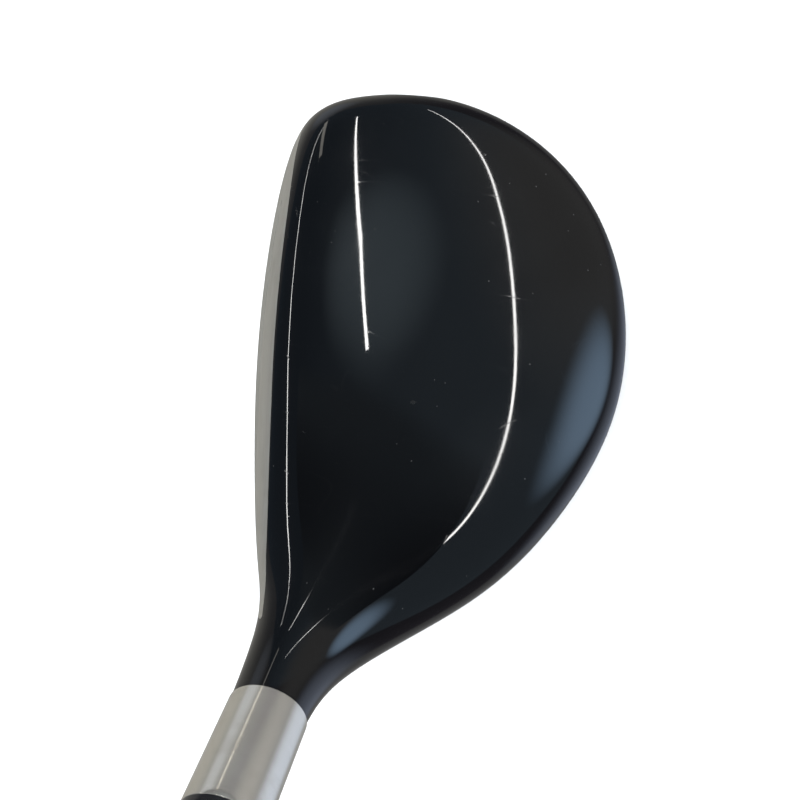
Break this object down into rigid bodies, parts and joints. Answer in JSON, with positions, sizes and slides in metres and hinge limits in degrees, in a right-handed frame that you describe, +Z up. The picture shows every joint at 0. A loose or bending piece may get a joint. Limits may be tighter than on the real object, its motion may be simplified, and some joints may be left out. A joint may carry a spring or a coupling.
{
  "type": "hybrid golf club",
  "caption": "Right-handed hybrid club: hollow steel head with a lofted scored face and glossy black crown, bare steel hosel, ferrule, tapered shaft and rubber grip.",
  "frame": {"origin": "on the ground, at the middle of the small flat in the centre of the sole", "axes": "+Z up with the club at address, -Y the way the face looks (the target), -X the toe, +X the heel; the shaft line leans 60 degrees from the ground over +X"},
  "size_m": [0.5916, 0.0715, 0.8804],
  "materials": {
    "black_paint": "gloss black paint over cast steel",
    "face_steel": "bare steel, fine brushing along the score lines",
    "hosel_steel": "bare steel, turned around the shaft line",
    "screw_steel": "bead-blasted heavy alloy",
    "badge_fill": "smooth dark red enamel, plain",
    "black_plastic": "matt black",
    "ferrule_plastic": "polished black",
    "shaft_graphite": "clear-coated dark graphite composite",
    "brass": "machined brass",
    "cork": "agglomerated cork",
    "paper_tape": "double-sided paper tape",
    "hot_melt": "set hot-melt adhesive",
    "grip_rubber": "moulded rubber, matt"
  },
  "bodies": {
    "root": {"body_casting": "black_paint", "face_plate": "face_steel", "sole_badge": "badge_fill", "weight_port": "hosel_steel", "weight_screw": "screw_steel", "damping_blob": "hot_melt", "hosel_tube": "hosel_steel", "hosel_plug": "black_plastic", "ferrule": "ferrule_plastic", "shaft": "shaft_graphite", "tip_weight": "brass", "tip_cork": "cork", "grip_tape": "paper_tape", "grip": "grip_rubber", "grip_cap": "grip_rubber"}
  },
  "joints": []
}
